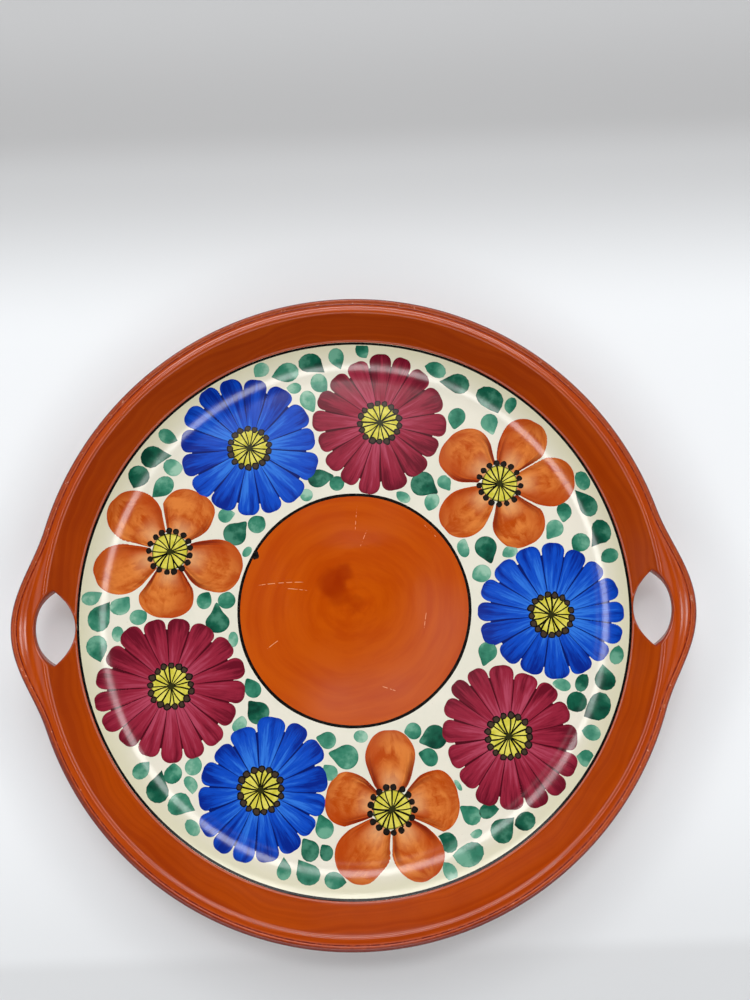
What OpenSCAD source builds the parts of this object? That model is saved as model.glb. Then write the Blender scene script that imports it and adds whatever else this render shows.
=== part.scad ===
// Round serving plate in glazed earthenware with two pierced lug handles and a painted wreath
// of nine flowers. Millimetres, +Z up, origin at the centre of the foot where it meets the table.
// +X runs towards the right handle. The handles sit a little to the -Y side of the X axis.

/* [Plate] */
// Diameter over the outer edge of the rim
plate_d = 264.6; // [262:0.2:268]
// Height of the lip above the table
plate_h = 23; // [21:0.5:26]
// Thickness of the fired clay
clay_t = 4; // [3.5:0.25:4.5]
// Radius of the flat part of the floor
flat_r = 100; // [98:1:102]
// Radius where the painted ground meets the rim wall
border_r = 117; // [116:0.5:118]
// Height that the floor gains between its flat part and the rim wall
shoulder_rise = 3.5; // [2.5:0.25:4.5]
// Radius of the ridge between the rim wall and the lip
ridge_r = 126.6; // [126:0.2:127]
// Height of the rounded bead along the edge of the lip
bead_h = 0.9; // [0.6:0.1:1.2]

/* [Foot] */
// Middle radius of the foot ring
foot_r = 88; // [80:1:95]
// Width of the foot ring
foot_w = 5; // [4:0.5:7]
// Height of the foot ring
foot_h = 3; // [2.5:0.25:4]

/* [Handles] */
// Distance from the plate's centre to the tip of a handle
handle_r = 140; // [138:0.5:142]
// Angle that a handle is turned towards the front
handle_turn = 2; // [0:0.5:4]
// Half angle over which the lug grows out of the rim
lug_half = 18; // [16:1:20]
// Length of the finger hole along the rim
hole_l = 30.6; // [28:0.2:32]
// Radius of the inner edge of the finger hole
hole_in = 117.8; // [117.6:0.2:118.4]
// Radius of the outer edge of the finger hole
hole_out = 130.7; // [130:0.1:131.2]
// Radius where the two pointed ends of the finger hole lie
hole_mid = 123.5; // [122.5:0.5:124.5]

/* [Painting] */
// Thickness of one layer of glaze or enamel
coat = 0.2; // [0.15:0.05:0.3]
// Radius of the plain disc in the middle
centre_r = 49.1; // [48:0.5:50]
// Width of the painted black lines
line_w = 1.3; // [1:0.1:1.6]
// Radius of the circle that the flowers stand on
wreath_r = 83.5; // [83:0.5:84]
// Radius of the yellow eye of a flower
eye_r = 8.6; // [8:0.2:9]
// Number of stamens in each flower
stamens = 17; // [15:1:19]
// Radius of the dot at the end of a stamen
anther_r = 1.25; // [1:0.05:1.4]

/* [Hidden] */
$fn = 96;

rim_r = plate_d / 2;
base_z = foot_h;
floor_z = base_z + clay_t;
shoulder_curve = pow(border_r - flat_r, 2) / (2 * shoulder_rise);
shoulder_steps = 6;
bead_w = 2.1;
lip_t = 3.4;
lug_t = 4;
lug_seat_r = ridge_r + 0.5;
lug_growth = handle_r - rim_r;
// How far the lug's side of the bead is stepped in from its edge
lug_bead_step = 0.4;
edge_line_w = 0.6;
// How far cutting shapes run past what they cut
past = 5;
// How far inside the ridge the lug shapes start, well under the wall
lug_root = 20;
// Rounding of the foot ring's lower edges
foot_slope = 0.8;
foot_chamfer = 0.6;
// Rounding of the rim's outer edge, from the top of the lip to its underside
rim_round_h = 0.6;
rim_turn_w = 0.5;
rim_turn_h = 2.2;
rim_under_w = 1.8;
// Gap between the eye of a flower and its petals
eye_gap = 0.15;
// Half the angle left open between two petals
narrow_gap = 0.288;
broad_gap = 0.5;
// How suddenly the end of a narrow petal rounds off towards its sides
tip_power = 2.6;
// Gap between a leaf and the flowers round it
motif_gap = 0.25;
// Share of a leaf's drawn-out tip that its two neighbouring points follow
tip_follow = 0.18;

// Where each flower stands on the wreath, clockwise from the upper left: angle, and how far it
// lies outside the wreath's circle
flower_places = [
    [121.4, 0.2], [80.3, -1.5], [38.5, -0.5], [-3.8, 0.3], [-41.3, 0],
    [-81, 0.1], [-119.2, 0.3], [-159.1, 0], [-199, -0.4]
];

// Narrow petals, as [direction, reach] from the flower's centre, counter-clockwise
blue_1 = [
    [-24, 28.5], [-1, 29], [30, 30], [52, 30.5], [76, 31.5], [94, 32], [118, 31.5], [139, 30],
    [164, 30], [185, 29.5], [213, 29], [238, 29.5], [258, 30], [279, 30.5], [311, 30.5]
];
blue_2 = [
    [-22, 26], [6, 26.5], [33, 27], [54, 28], [75, 30], [93, 30], [116, 30], [137, 29.5],
    [157, 29.5], [178, 30.5], [201, 30], [228, 30], [251, 31], [269, 31], [287, 30.5], [315, 27]
];
blue_3 = [
    [-16, 24], [10, 25], [36, 25.5], [62, 28], [82, 28.5], [102, 28.5], [125, 28], [148, 27.5],
    [171, 26.5], [193, 27], [216, 27.5], [245, 30], [264, 30.5], [286, 29.5], [318, 26]
];
crimson_1 = [
    [-18, 27.5], [4, 29], [31, 29], [58, 29.5], [77, 30.5], [96, 30.5], [120, 29], [142, 28.5],
    [165, 29], [185, 29.5], [209, 28], [229, 29.5], [250, 30.5], [267, 32], [290, 30.5], [317, 28.5]
];
crimson_2 = [
    [-30, 26], [-5, 26.5], [17, 29], [40, 29], [64, 30], [83, 30], [103, 29.5], [129, 28],
    [154, 27], [176, 27.5], [200, 26.5], [226, 29], [248, 30.5], [265, 31], [282, 29], [303, 27.5]
];
crimson_3 = [
    [-28, 28], [-5, 28.5], [18, 30.5], [40, 30], [61, 31], [80, 31.5], [98, 31], [118, 29.5],
    [139, 29.5], [161, 31], [179, 31], [199, 30.5], [221, 29.5], [243, 31], [262, 31.5],
    [282, 30], [308, 28.5]
];

// Broad petals, as [direction, reach, width]
orange_1 = [[-16, 29, 23], [52, 32, 22], [109, 31, 21], [188, 29.5, 25], [269, 31, 20.5]];
orange_2 = [[-23, 27.5, 22.5], [44, 32.5, 22], [111, 30.5, 20.5], [180, 27.5, 25], [261, 31.5, 21]];
orange_3 = [[-6, 28, 24], [63, 33, 22.5], [127, 33, 22], [195, 28, 24], [270, 32, 23]];

// Leaves in the gap that follows each flower clockwise. In the gap's own axes, x runs clockwise
// and y outwards from the plate's centre: [x, y, width, height, tip x, tip y, tone], and the
// tone is 0 for a thin wash, 1 for a middle green and 2 for a full dark green.
gap_leaves = [
    [[-17, 111.5, 7, 6, -20.5, 109, 0], [-6, 108, 10, 8.5, -13.5, 107.5, 1],
     [4.5, 110, 10.5, 8, 10, 104.5, 2], [6.5, 100.5, 7.5, 8.5, 9, 96, 0],
     [16.5, 110, 7, 7.5, 17.3, 104.3, 1], [-4.5, 100.5, 6, 5, -8, 101.5, 0],
     [0, 94, 7, 8.5, 1.5, 88, 0], [28.3, 110.3, 6, 6.5, 29.5, 106.5, 1],
     [-3, 58.5, 9, 8, 4, 58, 2], [4.5, 54.5, 6.5, 6.5, 8, 56, 1], [-9.5, 52.4, 5.5, 5.5, -9.5, 49.8, 0]],
    [[-18.5, 109.3, 9, 6.5, -24, 108.4, 1], [-7, 108.5, 10, 8.5, -15, 105.5, 2],
     [8, 109.3, 13, 9, 14.5, 105, 2], [17.5, 110.8, 5, 6.5, 19, 107, 1],
     [13, 99.7, 7.5, 8, 17, 95.5, 0], [-0.7, 95, 7.5, 8.5, 0.8, 89.5, 1],
     [8, 66.7, 6, 6, 12, 64.5, 0], [0, 61.5, 10, 11, 8, 61, 2],
     [7.3, 56.7, 6.3, 7.5, 8, 52.3, 0], [-4.3, 52.3, 6.3, 4.6, -8, 53, 0]],
    [[-19, 111.3, 8.5, 6, -23.3, 110, 1], [-8, 109.8, 9.5, 7.5, -16.5, 107, 2],
     [4, 111, 10.5, 7.6, 9, 104.8, 2], [15, 110.5, 6.3, 7, 16, 106.4, 1],
     [-9.5, 99.5, 7.5, 6.3, -5, 97.3, 1], [5.5, 101.3, 8, 8, 8.5, 97, 1],
     [-3.8, 93, 7.5, 7.5, -0.5, 88, 0], [-0.8, 71.3, 5, 6.5, 0, 67.5, 0],
     [-6, 62, 9.5, 9.5, 1.5, 61.8, 2], [4, 56.5, 7.5, 8, 4.5, 52, 0],
     [-8.5, 52.6, 7.5, 5, -12.5, 54.7, 0]],
    [[-20.2, 110.2, 7.5, 5.5, -24.7, 109.7, 1], [-9, 109, 8.5, 8.5, -15, 106, 2],
     [2, 110, 12, 9, 8.2, 105.5, 2], [13.2, 110.5, 6.5, 7, 14, 106.4, 0],
     [23.8, 111.3, 7, 6, 24.5, 107.5, 1], [-4.5, 100.5, 7.5, 5.5, -8.7, 101.5, 2],
     [3.5, 101, 8.5, 8.5, 7.5, 98.5, 2], [-1, 93.2, 5, 7, 0, 89, 0],
     [-3, 59.2, 8, 8, 3.5, 59.5, 1]],
    [[-16.2, 110.2, 8.5, 7, -11.5, 109.3, 2], [-5.7, 108.7, 9, 9.5, -13, 106.7, 2],
     [10, 109.8, 12, 8.6, 16.5, 106.5, 1], [20.5, 111.2, 5.5, 7, 21, 106.8, 0],
     [3.5, 104.5, 5, 3.2, 6, 103.3, 0], [-5, 99.2, 7.5, 6, -9.5, 101, 2],
     [1.5, 97.5, 7.5, 7.8, 3.8, 91.8, 1], [15.3, 101.5, 7.3, 8.3, 19, 97.3, 2],
     [0, 84.5, 2, 5, 0.3, 81.8, 0], [4.3, 68.8, 6.6, 7.8, 7.5, 65, 1],
     [-2, 63, 9.5, 10, 5, 61.3, 2], [4.6, 56.3, 6.5, 7, 8.2, 54.8, 1]],
    [[-7.8, 109.5, 8, 6.5, -13, 109.5, 1], [2.8, 108.8, 10, 8, 7.8, 103.8, 1],
     [12.8, 109, 6, 6.5, 13.8, 103.7, 1], [-3.2, 99.8, 5.5, 6.3, -0.8, 96.8, 2],
     [3.5, 100, 7.5, 8.4, 7.2, 95.5, 2], [-1, 90.5, 7.6, 8, 2, 85, 1],
     [0, 68.3, 6.3, 6.3, 3, 65.5, 0], [-5.8, 61, 9.8, 10, 2, 60.5, 1],
     [3, 55.5, 7, 7, 8, 55, 1], [-10.4, 52, 6, 5, -10, 49.8, 0]],
    [[-20.7, 108.8, 7.5, 5, -16.7, 108.5, 0], [-9.7, 107, 8.3, 9.5, -16.3, 103.8, 1],
     [0, 110, 10, 8.5, 5.2, 103.5, 2], [10.8, 109.8, 6.5, 7, 11.3, 105, 1],
     [0.8, 101.3, 7.2, 8, 4, 98, 1], [-7, 98.3, 7, 4.8, -10.7, 100.5, 0],
     [-2.6, 93, 6.8, 7.4, -1, 89, 0], [-3, 67.8, 5.2, 7, -1, 64.5, 0],
     [-4.8, 58.8, 8.8, 9.5, 1.8, 58.5, 2], [4.2, 54, 7.6, 6.8, 9.3, 53, 1]],
    [[-10.4, 109.3, 9.5, 8.4, -17, 107.8, 1], [1, 108.5, 10.8, 9, 8.2, 104, 1],
     [9.9, 111.8, 6, 7, 12.3, 107, 0], [-5.5, 100.8, 6.5, 5, -9, 101, 0],
     [5.9, 99.8, 7.2, 8.8, 10, 95.8, 0], [1, 92, 6.5, 7.4, 3, 88.5, 0],
     [6.5, 63.8, 7, 6.4, 10.3, 61.5, 1], [-3, 58.3, 8.6, 10.3, 5.8, 58.5, 2],
     [6.2, 54.2, 7, 7.6, 9.8, 53, 1], [-10.3, 51.8, 6.5, 4.2, -13.5, 52.5, 0]],
    [[-10.3, 109.5, 9, 9, -16, 108, 2], [-0.5, 110.3, 10.2, 8.7, 5.3, 104, 2],
     [10.6, 110.8, 6.2, 7.4, 12, 106, 1], [-7.3, 98.3, 9.2, 8.3, -14.3, 99.3, 1],
     [1.3, 100.5, 7.2, 8.6, 4, 96.8, 0], [-1.5, 68.8, 6.3, 6.3, 1.8, 66, 0],
     [-5.5, 60.5, 9.3, 10.3, 2, 59.8, 2], [3.6, 55.5, 7.6, 7.8, 7.8, 55.2, 1],
     [-8.2, 51.5, 5, 3.4, -10.8, 51.8, 0]]
];

// Height of the floor's surface above its flat part, at radius r
function rise(r) = r <= flat_r ? 0 : pow(r - flat_r, 2) / (2 * shoulder_curve);

// Radii of the steps along the shoulder, from the flat part to radius r
function shoulder_radii(r) = [for (i = [0 : shoulder_steps]) flat_r + (r - flat_r) * i / shoulder_steps];

// The floor's surface from the flat part to radius r, lifted by h
function shoulder_line(r, h) = [for (s = shoulder_radii(r)) [s, floor_z + rise(s) + h]];

// The same line pushed back through the clay, square to the surface
function shoulder_back(r, t) = [
    for (s = shoulder_radii(r)) let (a = atan((s - flat_r) / shoulder_curve))
        [s + t * sin(a), floor_z + rise(s) - t * cos(a)]
];

function backwards(list) = [for (i = [len(list) - 1 : -1 : 0]) list[i]];
function polar(r, a) = [r * cos(a), r * sin(a)];

// Edge of a lug at the angle a from its middle, in by inset
function lug_edge(a, inset) = polar(rim_r - inset + lug_growth * pow(cos(a * 90 / lug_half), 2), a);

wall_slope = atan2(plate_h - floor_z - shoulder_rise, ridge_r - border_r);

// Layer of one coat's thickness that follows the floor, between two radii
module floor_layer(r_in, r_out, lift) {
    low = r_in < flat_r ? [[r_in, floor_z + lift]] : [];
    line = r_out > flat_r ? shoulder_line(r_out, lift) : [[r_out, floor_z + lift]];
    path = concat(low, line);
    top = [for (p = path) p + [0, coat]];
    rotate_extrude() polygon(concat(path, backwards(top)));
}

// Turns the shapes that follow so that they lie on the plate's radius at angle a
module at_angle(a) { rotate([0, 0, a]) children(); }

// ---- clay body ----

module floor_disc() {
    color("ivory") translate([0, 0, base_z]) cylinder(r = flat_r, h = clay_t, $fn = 180);
}

module foot_ring() {
    color("ivory") rotate_extrude($fn = 180) polygon([
        [foot_r - foot_w / 2, base_z], [foot_r - foot_w / 2 + foot_slope, foot_chamfer],
        [foot_r - foot_w / 2 + foot_slope + foot_chamfer, 0],
        [foot_r + foot_w / 2 - foot_slope - foot_chamfer, 0],
        [foot_r + foot_w / 2 - foot_slope, foot_chamfer], [foot_r + foot_w / 2, base_z]
    ]);
}

module finger_hole() {
    half = hole_l / 2;
    swell_out = hole_out - hole_mid;
    swell_in = hole_mid - hole_in;
    big = (half * half + swell_out * swell_out) / (2 * swell_out);
    small = (half * half + swell_in * swell_in) / (2 * swell_in);
    linear_extrude(plate_h + past) intersection() {
        translate([hole_out - big, 0]) circle(r = big, $fn = 120);
        translate([hole_in + small, 0]) circle(r = small, $fn = 120);
    }
}

// Flat sector of the rim that a lug takes the place of
module lug_sector(r_in, r_out) {
    steps = 12;
    polygon(concat(
        [for (i = [-steps : steps]) polar(r_out, lug_half * i / steps)],
        [for (i = [steps : -1 : -steps]) polar(r_in, lug_half * i / steps)]
    ));
}

module lug_outline(inset) {
    steps = 18;
    polygon(concat([[ridge_r - lug_root, 0]], [for (i = [-steps : steps]) lug_edge(lug_half * i / steps, inset)]));
}

module rim_section() {
    wall_back = clay_t / sin(wall_slope);
    polygon(concat(
        shoulder_line(border_r, 0),
        [[ridge_r, plate_h], [rim_r - bead_w, plate_h], [rim_r - bead_w * 0.8, plate_h + bead_h * 0.7],
         [rim_r - bead_w * 0.5, plate_h + bead_h], [rim_r - bead_w * 0.15, plate_h + bead_h * 0.6],
         [rim_r, plate_h - rim_round_h], [rim_r - rim_turn_w, plate_h - rim_turn_h],
         [rim_r - rim_under_w, plate_h - lip_t],
         [ridge_r + wall_back - lip_t / tan(wall_slope), plate_h - lip_t]],
        backwards(shoulder_back(border_r, clay_t))
    ));
}

module rim_wall() {
    color("chocolate") difference() {
        rotate_extrude($fn = 180) rim_section();
        for (a = [-handle_turn, 180 + handle_turn]) at_angle(a) {
            finger_hole();
            translate([0, 0, plate_h - lug_t]) linear_extrude(lug_t + past) difference() {
                lug_sector(ridge_r - lug_root, rim_r + past);
                circle(r = lug_seat_r, $fn = 180);
            }
        }
    }
}

module handle(a) {
    color("chocolate") at_angle(a) difference() {
        union() {
            translate([0, 0, plate_h - lug_t]) linear_extrude(lug_t) lug_outline(0);
            translate([0, 0, plate_h]) linear_extrude(bead_h) lug_outline(lug_bead_step);
        }
        translate([0, 0, plate_h]) linear_extrude(past) lug_outline(bead_w);
        cylinder(r = lug_seat_r, h = plate_h + past, $fn = 180);
        finger_hole();
    }
}

module handle_right() { handle(-handle_turn); }

module handle_left() { handle(180 + handle_turn); }

// ---- glaze, enamel and painted lines ----

module ground_glaze() {
    color("beige") floor_layer(centre_r, border_r, 0);
}

module centre_enamel() {
    color("orangered") floor_layer(0, centre_r, 0);
}

module centre_line() {
    color("black") floor_layer(centre_r - line_w / 2, centre_r + line_w / 2, coat);
}

module border_line() {
    color("black") rotate_extrude($fn = 180) polygon([
        [border_r - line_w, floor_z + rise(border_r - line_w) + coat],
        [border_r, floor_z + shoulder_rise + coat],
        [border_r, floor_z + shoulder_rise + 2 * coat],
        [border_r - line_w, floor_z + rise(border_r - line_w) + 2 * coat]
    ]);
}

module edge_line() {
    color("darkred") translate([0, 0, plate_h]) linear_extrude(coat) {
        difference() {
            circle(r = rim_r - bead_w, $fn = 180);
            circle(r = rim_r - bead_w - edge_line_w, $fn = 180);
            for (a = [-handle_turn, 180 + handle_turn]) rotate(a) lug_sector(ridge_r - lug_root, rim_r + past);
        }
        for (a = [-handle_turn, 180 + handle_turn]) rotate(a) difference() {
            lug_outline(bead_w);
            lug_outline(bead_w + edge_line_w);
        }
    }
}

// ---- flowers ----

// The thin layer on top of the ground that all flowers and leaves lie in
module motif_layer() { floor_layer(centre_r, border_r - line_w, coat); }

// Moves flat shapes to flower number i, with y pointing outwards from the plate's centre
module at_flower(i) {
    rotate(flower_places[i][0]) translate([wreath_r + flower_places[i][1], 0]) rotate(-90) children();
}

// Angle between two directions, always positive
function turn(a, b) = (b - a + 720) % 360;

// Narrow brush-stroke petal between its two neighbours
module narrow_petal(petals, k, grow, cut) {
    n = len(petals);
    dir = petals[k][0];
    reach = petals[k][1] + grow;
    left = turn(dir, petals[(k + 1) % n][0]) / 2;
    right = turn(petals[(k + n - 1) % n][0], dir) / 2;
    gap_angle = grow > 0 ? 0 : narrow_gap;
    inner = eye_r + eye_gap;
    polygon(concat(
        [polar(inner, dir - right + gap_angle * 2)],
        [for (t = [-1 : 0.25 : 1])
            polar(reach * (1 - cut * pow(abs(t), tip_power)), dir + t * ((t < 0 ? right : left) - gap_angle))],
        [polar(inner, dir + left - gap_angle * 2)]
    ));
}

// Broad rounded petal, kept inside its own share of the circle
module broad_petal(petals, k, grow) {
    n = len(petals);
    dir = petals[k][0];
    reach = petals[k][1] + grow;
    half_w = petals[k][2] / 2 + grow;
    left = turn(dir, petals[(k + 1) % n][0]) / 2;
    right = turn(petals[(k + n - 1) % n][0], dir) / 2;
    clear = grow > 0 ? 0 : broad_gap;
    inner = eye_r + eye_gap;
    middle = (inner + reach) / 2;
    stations = concat(
        [for (t = [0 : 0.25 : 0.75]) [inner + (middle - inner) * t, half_w * (0.62 + 0.38 * sin(90 * t))]],
        [for (a = [0 : 15 : 75]) [middle + (reach - middle) * sin(a), half_w * cos(a)]]
    );
    rotate(dir) polygon(concat(
        [for (s = stations) [s[0], -min(s[1], s[0] * tan(right - clear))]],
        [[reach, 0]],
        backwards([for (s = stations) [s[0], min(s[1], s[0] * tan(left - clear))]])
    ));
}

module narrow_petals(petals, grow, cut) {
    for (k = [0 : len(petals) - 1]) narrow_petal(petals, k, grow, cut);
}

module broad_petals(petals, grow) {
    for (k = [0 : len(petals) - 1]) broad_petal(petals, k, grow);
}

blue_cut = 0.17;
crimson_cut = 0.15;

module flower(i) {
    intersection() {
        motif_layer();
        linear_extrude(plate_h) at_flower(i) children();
    }
}

module blue_flower_1() { color("royalblue") flower(0) narrow_petals(blue_1, 0, blue_cut); }

module blue_flower_2() { color("royalblue") flower(3) narrow_petals(blue_2, 0, blue_cut); }

module blue_flower_3() { color("royalblue") flower(6) narrow_petals(blue_3, 0, blue_cut); }

module crimson_flower_1() { color("firebrick") flower(1) narrow_petals(crimson_1, 0, crimson_cut); }

module crimson_flower_2() { color("firebrick") flower(4) narrow_petals(crimson_2, 0, crimson_cut); }

module crimson_flower_3() { color("firebrick") flower(7) narrow_petals(crimson_3, 0, crimson_cut); }

module orange_flower_1() { color("sandybrown") flower(2) broad_petals(orange_1, 0); }

module orange_flower_2() { color("sandybrown") flower(5) broad_petals(orange_2, 0); }

module orange_flower_3() { color("sandybrown") flower(8) broad_petals(orange_3, 0); }

// All the ground that the flowers cover, with a little to spare
module wreath_shadow() {
    at_flower(0) narrow_petals(blue_1, motif_gap, blue_cut);
    at_flower(3) narrow_petals(blue_2, motif_gap, blue_cut);
    at_flower(6) narrow_petals(blue_3, motif_gap, blue_cut);
    at_flower(1) narrow_petals(crimson_1, motif_gap, crimson_cut);
    at_flower(4) narrow_petals(crimson_2, motif_gap, crimson_cut);
    at_flower(7) narrow_petals(crimson_3, motif_gap, crimson_cut);
    at_flower(2) broad_petals(orange_1, motif_gap);
    at_flower(5) broad_petals(orange_2, motif_gap);
    at_flower(8) broad_petals(orange_3, motif_gap);
}

module on_each_flower(z) {
    for (i = [0 : len(flower_places) - 1]) translate([0, 0, z]) linear_extrude(coat) at_flower(i) children();
}

module flower_eyes() {
    color("khaki") on_each_flower(floor_z + coat) circle(r = eye_r, $fn = 48);
}

// Star of thin lines round a small hub
module stamen_star() {
    hub = 1.7;
    tip = eye_r - 0.4;
    line = 0.5;
    polygon([for (k = [0 : stamens - 1]) let (a = 360 * k / stamens) each [
        polar(hub, a - 180 / stamens), polar(tip, a) + polar(line / 2, a - 90),
        polar(tip, a) + polar(line / 2, a + 90)
    ]]);
}

module stamen_lines() {
    color("darkolivegreen") on_each_flower(floor_z + 2 * coat) stamen_star();
}

module anther_dots() {
    ring = eye_r + 1.2;
    color("black") on_each_flower(floor_z + 2 * coat)
        for (k = [0 : stamens - 1]) rotate(360 * k / stamens) translate([ring, 0]) circle(r = anther_r, $fn = 24);
}

// ---- leaves ----

// Half width of an ellipse with half axes a and b, in the direction d
function ellipse_reach(a, b, d) = 1 / sqrt(pow(cos(d) / a, 2) + pow(sin(d) / b, 2));

// Rounded leaf with one drawn-out tip
module leaf(l) {
    centre = [l[0], l[1]];
    tip = [l[4], l[5]] - centre;
    dir = atan2(tip[1], tip[0]);
    points = 14;
    polygon([for (k = [0 : points - 1]) let (
        d = dir + 360 * k / points,
        body = ellipse_reach(l[2] / 2, l[3] / 2, d),
        near = k == 1 || k == points - 1,
        pull = max(0, norm(tip) - body))
        centre + polar(k == 0 ? body + pull : near ? body + pull * tip_follow : body, d)
    ]);
}

module leaves(tone) {
    n = len(flower_places);
    intersection() {
        motif_layer();
        linear_extrude(plate_h) difference() {
            for (g = [0 : n - 1]) let (
                a = flower_places[g][0],
                b = g == n - 1 ? flower_places[0][0] - 360 : flower_places[g + 1][0])
                rotate((a + b) / 2 - 90) for (l = gap_leaves[g]) if (l[6] == tone) leaf(l);
            wreath_shadow();
            circle(r = centre_r + line_w / 2 + motif_gap, $fn = 96);
        }
    }
}

module leaves_dark() { color("darkgreen") leaves(2); }

module leaves_mid() { color("seagreen") leaves(1); }

module leaves_light() { color("mediumseagreen") leaves(0); }

floor_disc();
foot_ring();
rim_wall();
handle_right();
handle_left();
ground_glaze();
centre_enamel();
centre_line();
border_line();
edge_line();
blue_flower_1();
blue_flower_2();
blue_flower_3();
crimson_flower_1();
crimson_flower_2();
crimson_flower_3();
orange_flower_1();
orange_flower_2();
orange_flower_3();
flower_eyes();
stamen_lines();
anther_dots();
leaves_dark();
leaves_mid();
leaves_light();
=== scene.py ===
# Glazed earthenware serving plate with two pierced lug handles and a painted wreath of nine flowers.
# The scene is in metres, in the frame of the CAD model. Lengths below are in millimetres,
# but those of the lights, the dark card and the floor's size are in metres.

from functools import partialmethod
from math import atan, atan2, cos, degrees, hypot, pi, radians, sin, tan

import bpy
import numpy as np
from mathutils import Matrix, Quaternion, Vector


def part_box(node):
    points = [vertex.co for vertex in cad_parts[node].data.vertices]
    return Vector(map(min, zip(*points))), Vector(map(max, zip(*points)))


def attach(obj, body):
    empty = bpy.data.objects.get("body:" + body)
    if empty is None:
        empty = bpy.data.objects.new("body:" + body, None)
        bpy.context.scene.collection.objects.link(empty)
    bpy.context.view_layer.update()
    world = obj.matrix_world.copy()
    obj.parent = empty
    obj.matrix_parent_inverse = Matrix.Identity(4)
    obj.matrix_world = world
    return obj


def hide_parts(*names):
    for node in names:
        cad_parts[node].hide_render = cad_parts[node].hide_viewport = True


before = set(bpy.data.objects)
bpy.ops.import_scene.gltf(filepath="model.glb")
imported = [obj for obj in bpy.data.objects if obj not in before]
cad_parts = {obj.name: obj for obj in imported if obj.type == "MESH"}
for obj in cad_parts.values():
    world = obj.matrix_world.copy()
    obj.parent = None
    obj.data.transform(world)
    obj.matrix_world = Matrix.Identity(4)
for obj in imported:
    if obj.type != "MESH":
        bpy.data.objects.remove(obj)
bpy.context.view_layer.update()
draw = np.random.default_rng(11)
MM = 0.001

# ---- measures from the CAD model ----


def low(node):
    return np.array(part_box(node)[0]) / MM


def high(node):
    return np.array(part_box(node)[1]) / MM


def node_points(node):
    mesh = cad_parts[node].data
    flat = np.empty(len(mesh.vertices) * 3)
    mesh.vertices.foreach_get("co", flat)
    return flat.reshape(-1, 3) / MM


def wrap(angle):
    """The same angle between -180 and 180 degrees."""
    return (angle + 180) % 360 - 180


def polar(r, angle):
    """x and y of a radius and an angle in degrees."""
    turn = np.radians(angle)
    return r * np.cos(turn), r * np.sin(turn)


def cos_sin(angle):
    return cos(radians(angle)), sin(radians(angle))


def add_object(name, data):
    made = bpy.data.objects.new(name, data)
    bpy.context.scene.collection.objects.link(made)
    return made


def lug_of(node):
    """Middle angle, tip radius and half angle of a handle."""
    points = node_points(node)
    radius = np.hypot(points[:, 0], points[:, 1])
    angle = np.degrees(np.arctan2(points[:, 1], points[:, 0]))
    middle = angle[np.argmax(radius)]
    return middle, radius.max(), np.abs(wrap(angle - middle)).max()


BASE_Z = low("floor_disc")[2]
FLOOR_Z = high("floor_disc")[2]
FLAT_R = high("floor_disc")[0]
FOOT_OUT = high("foot_ring")[0]
CENTRE_R = high("centre_enamel")[0]
COAT = high("centre_enamel")[2] - FLOOR_Z
BORDER_R = high("ground_glaze")[0]
RISE = high("ground_glaze")[2] - FLOOR_Z - COAT
LIP_Z = low("edge_line")[2]
RIM_R = high("rim_wall")[1]
BEAD_H = high("rim_wall")[2] - LIP_Z
LUG_MIDDLE, HANDLE_R, LUG_HALF = lug_of("handle_right")
LUG_MIDDLES = (LUG_MIDDLE, 180 - LUG_MIDDLE)
CLAY_T = FLOOR_Z - BASE_Z
FOOT_W = 5.0
RIDGE_R = 126.6
LIP_T = 3.4
LUG_T = 4.0

# Finger hole, where two arcs cross: length, inner and outer edge, and the radius of its two ends
HOLE_L = 30.6
HOLE_IN = 117.8
HOLE_OUT = 130.7
HOLE_MID = 123.5


def arc_through(swell):
    """Radius of the arc that is swell high over the finger hole's length."""
    return (HOLE_L**2 / 4 + swell**2) / (2 * swell)


OUTER_ARC = arc_through(HOLE_OUT - HOLE_MID)
INNER_ARC = arc_through(HOLE_MID - HOLE_IN)
OUTER_ARC_X = HOLE_OUT - OUTER_ARC
INNER_ARC_X = HOLE_IN + INNER_ARC
HOLE_ARCS = ((OUTER_ARC_X, OUTER_ARC), (INNER_ARC_X, INNER_ARC))
HOLE_HALF = degrees(atan2(HOLE_L / 2, HOLE_MID))
HOLE_TIP_R = hypot(HOLE_L / 2, HOLE_MID)

# Roundness of the potter's edges
WALL_FOOT_ROUND = 2.6
RIDGE_ROUND = 2.6
HOLE_ROUND = 1.05
LIP_DISH = 0.12
LUG_DISH = 0.85
BEAD_TOP = 1.05
BEAD_ZONE = 2.2
EDGE_Z = LIP_Z - 0.4
TUCK = 1.8

# ---- heights of the clay body ----

SHOULDER_CURVE = (BORDER_R - FLAT_R) ** 2 / (2 * RISE)


def rise(r):
    return np.maximum(r - FLAT_R, 0) ** 2 / (2 * SHOULDER_CURVE)


def floor_top(x, y):
    """Height of the glazed floor."""
    return FLOOR_Z + COAT + rise(np.hypot(x, y))


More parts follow.
